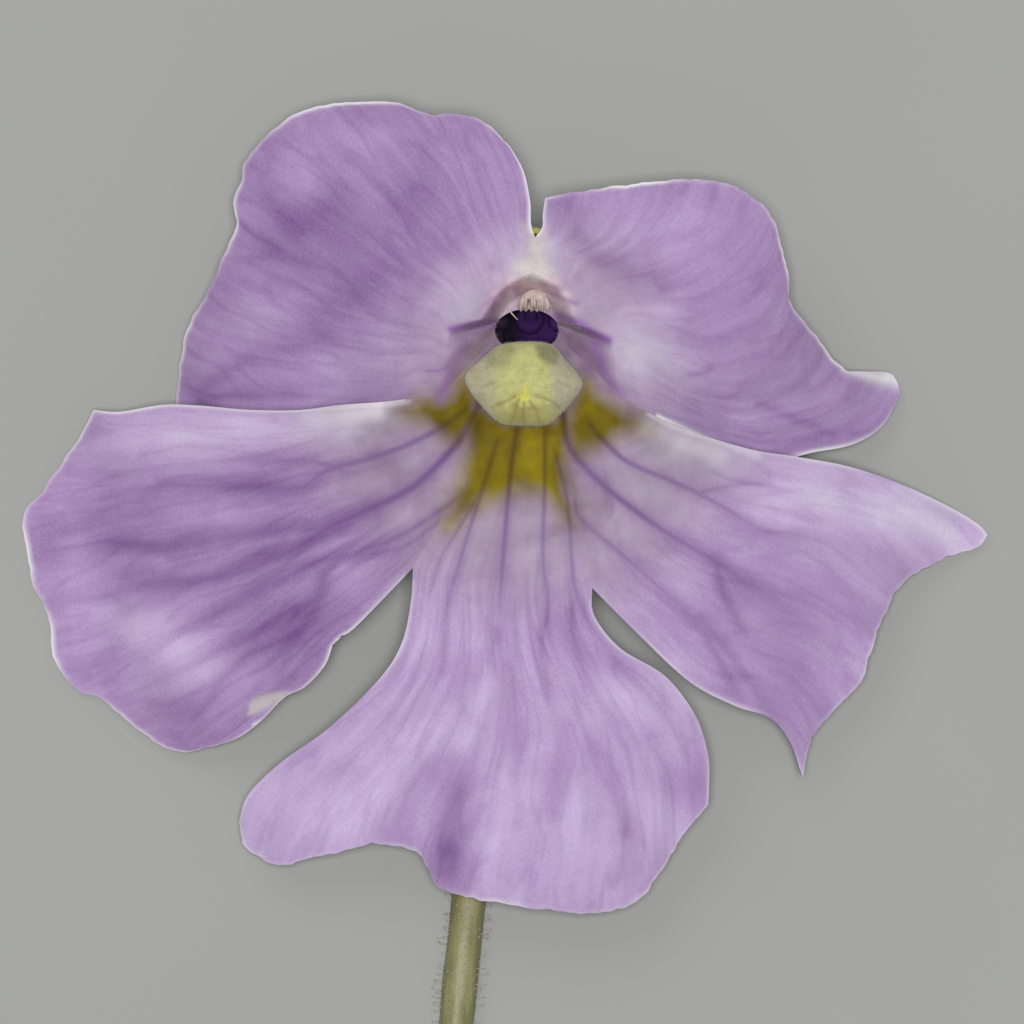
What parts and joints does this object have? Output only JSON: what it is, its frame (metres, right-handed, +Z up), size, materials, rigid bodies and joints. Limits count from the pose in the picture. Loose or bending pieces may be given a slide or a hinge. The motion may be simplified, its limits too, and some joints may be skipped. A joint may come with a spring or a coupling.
{
  "type": "butterwort flower",
  "caption": "Picked butterwort flower lying face up: lavender petal lobes round an open throat with a yellow palate, a short spur, a green calyx and a long bare stalk along the surface.",
  "frame": {"origin": "on the surface that the flower lies on, under the middle of its box", "axes": "+X to the viewer's right looking into the throat, +Y along the flower's length from the stalk's cut end to the upper petal lobes, +Z up out of the throat"},
  "size_m": [0.0356, 0.067, 0.0086],
  "materials": {
    "petal": "soft lavender petal with dark purple veins",
    "palate": "finely haired cream and yellow-green",
    "stalk": "matte olive green with fine gland hairs",
    "calyx": "matte yellow-green",
    "pistil": "pale, slightly moist",
    "stamen": "pale yellow, satin"
  },
  "bodies": {
    "root": {"corolla": "petal", "palate": "palate", "flower_stalk": "stalk", "calyx": "calyx", "pistil": "pistil", "stamen_left": "stamen", "stamen_right": "stamen"}
  },
  "joints": []
}
